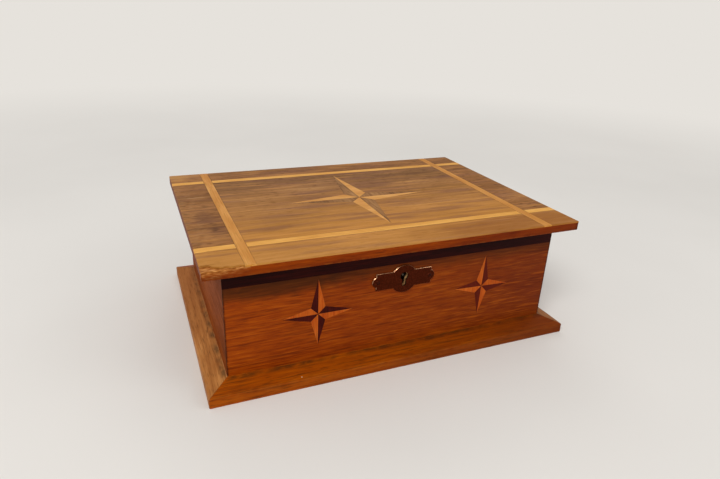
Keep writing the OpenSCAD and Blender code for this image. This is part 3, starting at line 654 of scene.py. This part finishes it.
bare_tones = ["#7a4a2a", "#93603a", "#a37046", "#b28055"]
bare_wall = wood("mahogany_inside_bare", bare_tones, band=3.0, stretch=20, satin=(0.6, 0.75),
                 worn="#b88a5c")
# Raw sawn wood, its tones raised as painted light for the inside of the keyhole
raw_hole_painted_lit = wood("mahogany_sawn_end_bare_painted_lit", ["#8a5c34", "#b08454", "#c49a68", "#d4ad7c"],
                band=1.2, stretch=3, satin=(0.7, 0.8))
# The tips of the two front stars are drawn out too, like those of the lid's star
front_tips = (star_tips("front_stars_pale", 2, (-1.5, 1.7, 0, 2.7), flank=-1)
              + star_tips("front_stars_pale", 2, (0, 0, 0, 2.2), flank=1))
bm = draw_out(wall_copy("front_wall", (0, 1, 0), 0), front_tips)
# The sides of the keyhole are raw wood as deep as one can see; their pale tone is partly
# painted light falling into the keyhole
key_low, key_high = box_of("lock_drill_pin")
key_x = (key_low.x + key_high.x) / 2
hole_depth, hole_reach, hole_rise = 2.6, 4.2, 4
for face in bm.faces:
    x, y, z = face.calc_center_median() / mm
    across = abs(face.normal.y) < 0.5 and wall_low.y < y < wall_low.y + hole_depth
    if across and abs(x - key_x) < hole_reach and z < key_high.z + hole_rise:
        face.material_index = 2
front_wall = make_piece("front_wall_mahogany", bm, [mahogany_front, bare_wall, raw_hole_painted_lit])
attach(front_wall, "case")
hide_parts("front_wall")


# Fillet. A thin strip of rosewood, nearly black, glued into the rebate along the top of the
# front wall and polished with it.
rosewood = wood("rosewood_fillet_polished", ["#150201", "#220301", "#2b0402", "#380802"],
                band=1.4, stretch=26, satin=(0.4, 0.5), gloss=0.06, flecks="#0c0202",
                joint="#100302", worn="#4a1a0c", relief=0.1)
bm = plain_copy("front_fillet")
cut_across(bm, 0, fillet_low.x, fillet_high.x, 8)
ease(bm, [e for e in box_arrises(bm, fillet_low, fillet_high)
          if abs(e.verts[0].co.z - e.verts[1].co.z) < 1e-4
          and max(v.co.y for v in e.verts) < fillet_low.y * mm + 1e-4], 0.25)
fillet = make_piece("front_fillet_rosewood", bm, [rosewood])
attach(fillet, "case")
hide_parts("front_fillet")


# Side and back walls. Plainer boards of the same kind as the front, browner, wiped with
# polish outside and bare inside. The back wall is cut at the rim for the hinge leaves.
mahogany_side = wood("mahogany_side_polished", ["#642a02", "#783503", "#843c05", "#94480c"],
                     grain="Y", band=3.0, stretch=18, swirl=8, satin=(0.58, 0.68), gloss=0.05,
                     flecks="#5a2a10", joint="#2c140a", worn="#b07a50")
mahogany_back = wood("mahogany_back_polished", ["#602a06", "#76380a", "#82420e", "#94521a"],
                     grain="X", band=3.0, stretch=18, swirl=8, satin=(0.5, 0.6), gloss=0.06,
                     flecks="#4a220c", joint="#2c140a", worn="#a87448")
bare_side = wood("mahogany_inside_side_bare", bare_tones, grain="Y", band=3.0, stretch=20,
                 satin=(0.6, 0.75))
for name, cad_name, inside, outer, inner in (
        ("left_wall_mahogany", "left_wall", (1, 0, 0), mahogany_side, bare_side),
        ("right_wall_mahogany", "right_wall", (-1, 0, 0), mahogany_side, bare_side),
        ("back_wall_mahogany", "back_wall", (0, -1, 0), mahogany_back, bare_wall)):
    bm = wall_copy(cad_name, inside, 0 if cad_name == "back_wall" else 0.4)
    wall = make_piece(name, bm, [outer, inner])
    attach(wall, "case")
    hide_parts(cad_name)


# Bottom board. Thin pine, planed and left bare, held in a groove round the walls.
pine = wood("pine_bottom_bare", ["#a87c4a", "#bd9260", "#cba472", "#d8b485"], band=4.5,
            stretch=22, swirl=10, satin=(0.6, 0.72), flecks="#9a6c3c", fleck_part=0.4)
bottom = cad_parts["bottom_board"]
bottom.data.materials.clear()
bottom.data.materials.append(pine)


# Plinth. Four mouldings of walnut, splayed from an upright edge to the walls, mitred at the
# corners and glued on. A darker band runs along the joint with the walls, and the arrises
# are rounded by handling, with small knocks along them.
def rounded(points, radii, steps=4):
    """An outline with its corners rounded to the given radii."""
    line = []
    for i, (corner, radius) in enumerate(zip(points, radii)):
        corner = Vector(corner)
        before = (Vector(points[i - 1]) - corner).normalized()
        after = (Vector(points[(i + 1) % len(points)]) - corner).normalized()
        if not radius:
            line.append(corner)
            continue
        half = before.angle(after) / 2
        centre = corner + (before + after).normalized() * radius / math.sin(half)
        start = corner + before * radius / math.tan(half) - centre
        stop = corner + after * radius / math.tan(half) - centre
        for k in range(steps + 1):
            line.append(centre + start.slerp(stop, k / steps) * radius)
    return line


plinth_low, plinth_high = box_of("plinth_front")
plinth_out = plinth_high.y - plinth_low.y
plinth_edge = 8.4
plinth_top = plinth_high.z
case_x, case_y = plinth_high.x - plinth_out, -plinth_high.y
foot_band = 2.6
profile = rounded([(0, plinth_top), (plinth_out, plinth_edge), (plinth_out, 0), (0, 0)],
                  [0, 1.0, 0.5, 0])
# The slope gets points of its own: two for the dark band along the walls, and more to be worn
slope = [profile[0].lerp(profile[1], out / plinth_out)
         for out in (0.7, 1.6, foot_band, 5.4, 8.2, 11.0, 13.6)]
profile = profile[:1] + slope + profile[1:]


def moulding(length, turn, distance, seed):
    """One moulding, mitred at both ends, with rounded corners and an uneven top arris."""
    bm = bmesh.new()
    wear_and_highlight_layer = bm.verts.layers.float.new("arris")
    joint_layer = bm.verts.layers.float.new("joint")
    corner, step, worn_reach = 0.9, 5, 1.6
    count = int(length * 2 / step)
    stations = [("end", angle) for angle in (-45, -30, -15)]
    stations += [("run", -1 + 2 * i / count) for i in range(count + 1)]
    stations += [("end", angle) for angle in (15, 30, 45)]
    rings = []
    for kind, value in stations:
        ring = []
        for out, z in profile:
            r = corner * min(1, out / 3)
            reach = length + out - r
            if kind == "run":
                x, o = value * reach, out
            else:
                a = math.radians(abs(value))
                x = math.copysign(reach + r * math.sin(a), value)
                o = out - r * (1 - math.cos(a))
            # Broad hollows from handling and small nicks, both only along the top arris
            knock = noise.noise(Vector((x / 11, seed * 7, z / 6)))
            knock += 0.6 * noise.noise(Vector((x / 2.6, seed * 3, z / 3)))
            from_arris = Vector((out - plinth_out, z - plinth_edge)).length
            on_arris = max(0, 1 - from_arris / worn_reach)
            lost = max(0, 0.04 + 0.2 * knock) * on_arris
            o -= lost
            z -= lost if z > 1 else 0
            v = bm.verts.new((x * mm, -(distance + o) * mm, z * mm))
            # Rubbed arrises, and a painted highlight as a thin pale line along the foot of the
            # walls
            v[wear_and_highlight_layer] = max(0.3 * on_arris, 0.6 if out < 0.1 and z > 10 else 0)
            v[joint_layer] = 0.7 if kind == "end" and abs(value) > 40 else 0
            # A darker band along the foot of the walls, uneven in strength
            if z > 10 and 0.5 < out < foot_band:
                v[joint_layer] = 0.7 * max(0, min(1, 0.6 + 1.4 * knock))
            ring.append(v)
        rings.append(ring)
    for a, b in zip(rings, rings[1:]):
        for i in range(len(profile)):
            bm.faces.new((a[i], b[i], b[i - 1], a[i - 1]))
    bm.faces.new(rings[0])
    bm.faces.new(rings[-1][::-1])
    bmesh.ops.rotate(bm, verts=bm.verts, matrix=Matrix.Rotation(turn, 3, "Z"))
    return bm


walnut_front = wood("walnut_plinth_front_polished", ["#743000", "#903f00", "#a04a00", "#b55a04"],
                    band=2.4, stretch=22, cloud=24, satin=(0.45, 0.58), gloss=0.07,
                    flecks="#3e1803", joint="#33200a", worn="#a8621c")
fade(walnut_front, "X", -115, 125, 0.6, "#4e1701", ragged=40, width=60)
streaks(walnut_front, "#4a2806", 1.4, 40, 0.56, 0.7, 0.5, seed=4.0)
walnut_side = wood("walnut_plinth_side_polished", ["#7e4518", "#9d602c", "#b07137", "#c48547"],
                   grain="Y", band=2.4, stretch=22, cloud=24, satin=(0.48, 0.6), gloss=0.07,
                   flecks="#45260e", joint="#3e2c18", worn="#b48a60")
# Both side mouldings are darker towards the back, and the right one all over
fade(walnut_side, "Y", -40, 70, 0.45, "#8a4b1a", ragged=20)
fade(walnut_side, "X", 100, 140, 0.4, "#6e4426")
# Pale specks of paint on the front slope
specks = node(walnut_front, "TexCoord").outputs["Object"]
specks = node(walnut_front, "TexVoronoi", {"Vector": specks, "Scale": 1000 / 13})
chance = node(walnut_front, "SeparateColor", {0: specks.outputs["Color"]}).outputs[0]
chance = node(walnut_front, "Math", {0: chance, 1: 0.12}, operation="LESS_THAN").outputs[0]
small = node(walnut_front, "Math", {0: specks.outputs["Distance"], 1: 0.05},
             operation="LESS_THAN").outputs[0]
specks = node(walnut_front, "Math", {0: chance, 1: small}, operation="MULTIPLY").outputs[0]
overlay(walnut_front, specks, "#d8c4a0")
for name, cad_name, length, distance, turn, material in (
        ("plinth_front_walnut", "plinth_front", case_x, case_y, 0, walnut_front),
        ("plinth_right_walnut", "plinth_right", case_y, case_x, math.pi / 2, walnut_side),
        ("plinth_back_walnut", "plinth_back", case_x, case_y, math.pi, walnut_front),
        ("plinth_left_walnut", "plinth_left", case_y, case_x, -math.pi / 2, walnut_side)):
    bm = moulding(length, turn, distance, len(name))
    plinth = make_piece(name, bm, [material], sharp=60)
    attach(plinth, "case")
    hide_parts(cad_name)


# Front stars. Two small compass stars let into the front: half of each arm in maple gone
# orange under the polish, and the other half in rosewood.
maple_front = wood("maple_front_star_polished", ["#9a3909", "#ac490e", "#b95615", "#c66420"],
                   grain="Z", band=1.3, stretch=14, cloud=9, satin=(0.42, 0.52), gloss=0.08,
                   flecks="#96551c", joint="#9c5420", relief=0.1)
rosewood_star = wood("rosewood_star_polished", ["#260301", "#370602", "#440a03", "#551005"],
                     grain="Z", band=1.3, stretch=14, cloud=9, satin=(0.42, 0.52), gloss=0.08,
                     flecks="#1c0605", joint="#1c0805")
fade(rosewood_star, "X", 0, 60, 0.6, "#641a03")
front = Vector((0, -1, 0))
for name, cad_name, material, slot in (
        ("front_stars_maple", "front_stars_pale", maple_front, "pale_wood"),
        ("front_stars_rosewood", "front_stars_dark", rosewood_star, "dark_wood")):
    bm = ring_joint(draw_out(plain_copy(cad_name), front_tips), front, 0.05)
    number_sheets(bm, 70)
    arms = make_piece(name, bm, [material])
    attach(arms, "case")
    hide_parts(cad_name)


# Escutcheon. A pierced plate of sheet brass, filed to a bevel, its face gone dark red-brown
# with age and rubbed bright along the edge. Two round-headed brass pins hold it.
def brass(name, clean, tarnish, rough, share, speck=0.9):
    """Old brass: bright where it is rubbed, clouded with tarnish elsewhere. Sizes in mm."""
    material = new_material(name)
    place = node(material, "TexCoord").outputs["Object"]
    place = node(material, "Mapping", {"Vector": place, "Scale": (1000, 1000, 1000)}).outputs[0]
    clouds = node(material, "TexNoise", {"Vector": place, "Scale": 1 / 5.5, "Detail": 4.0,
                                         "Roughness": 0.6}).outputs["Fac"]
    specks = node(material, "TexNoise", {"Vector": place, "Scale": 1 / speck,
                                         "Detail": 3.0}).outputs["Fac"]
    both = node(material, "Mix", {0: 0.35, 2: clouds, 3: specks}).outputs[0]
    rubbed = node(material, "Attribute", attribute_name="arris").outputs["Fac"]
    both = node(material, "Math", {0: rubbed, 1: 0.55, 2: both},
                operation="MULTIPLY_ADD").outputs[0]
    bright = node(material, "MapRange", {"Value": both, "From Min": share,
                                         "From Max": share + 0.16}).outputs[0]
    old = node(material, "ValToRGB", {"Fac": specks},
               stops=[(0.35, tarnish[0]), (0.55, tarnish[1]), (0.7, tarnish[2])]).outputs[0]
    colour = node(material, "MixRGB", {"Fac": bright, "Color1": old, "Color2": clean})
    gloss = node(material, "MapRange", {"Value": both, "From Min": 0.3, "From Max": 0.9,
                                        "To Min": rough[1], "To Max": rough[0]}).outputs[0]
    bump = node(material, "Bump", {"Height": specks, "Strength": 0.12, "Distance": 0.0002})
    shader = node(material, "BsdfPrincipled", {
        "Base Color": colour.outputs[0], "Metallic": 1.0, "Roughness": gloss,
        "Normal": bump.outputs[0]})
    shader.name = "surface"
    node(material, "OutputMaterial", {"Surface": shader.outputs[0]})
    return material


dark_brass = brass("brass_filed_tarnished", "#e0aa80", ("#3e1608", "#4a1a0a", "#562212"),
                   (0.22, 0.42), 0.72)
plate_low, plate_high = box_of("escutcheon")
bm = plain_copy("escutcheon")
layer = bm.verts.layers.float.new("arris")
for v in bm.verts:
    # The bevel's inner edge and the rim of the keyhole catch the hand, the back doesn't
    v[layer] = 0.9 if plate_low.y + 0.01 < v.co.y / mm < plate_high.y - 0.01 else 0
escutcheon = make_piece("escutcheon_brass", bm, [dark_brass])
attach(escutcheon, "case")
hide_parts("escutcheon")
pin_brass = brass("brass_pins_rubbed", "#dca480", ("#2c0f08", "#3c170d", "#502416"),
                  (0.14, 0.26), 0.74)
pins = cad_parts["escutcheon_pins"]
pins.data.materials.clear()
pins.data.materials.append(pin_brass)


# Lock and link plate. Sheet and cast brass, filed and let into the wood, with a steel spring;
# hidden from the air, they are only dulled. The keyed bolt slides through two eyes.
lock_brass = brass("brass_filed_dulled", "#b9935a", ("#6e5230", "#8a6a3e", "#a4834e"),
                   (0.3, 0.46), 0.46)
steel = brass("steel_rolled_oiled", "#8c8882", ("#4a443e", "#645e58", "#7a746e"),
              (0.28, 0.42), 0.48)
for cad_name in ("lock_plate", "lock_cap", "lock_screws", "lock_bolt", "link_plate",
                 "link_screws", "lock_drill_pin", "lock_guide_pins", "lock_spring"):
    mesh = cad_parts[cad_name].data
    mesh.materials.clear()
    mesh.materials.append(steel if cad_name in ("lock_drill_pin", "lock_guide_pins",
                                                "lock_spring") else lock_brass)


# Hinges. Two cast brass butts with five knuckles on a steel pin, let into the rim and the
# lid, their countersunk screws filed flush.
hinge_brass = brass("brass_cast_dulled", "#b48c50", ("#5e4426", "#7c5c32", "#967344"),
                    (0.3, 0.48), 0.5)
for cad_name in ("hinge_case_leaf_left", "hinge_case_leaf_right", "hinge_case_screws",
                 "hinge_lid_leaf_left", "hinge_lid_leaf_right", "hinge_lid_screws",
                 "hinge_pin_left", "hinge_pin_right"):
    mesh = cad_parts[cad_name].data
    mesh.materials.clear()
    mesh.materials.append(steel if "pin" in cad_name else hinge_brass)
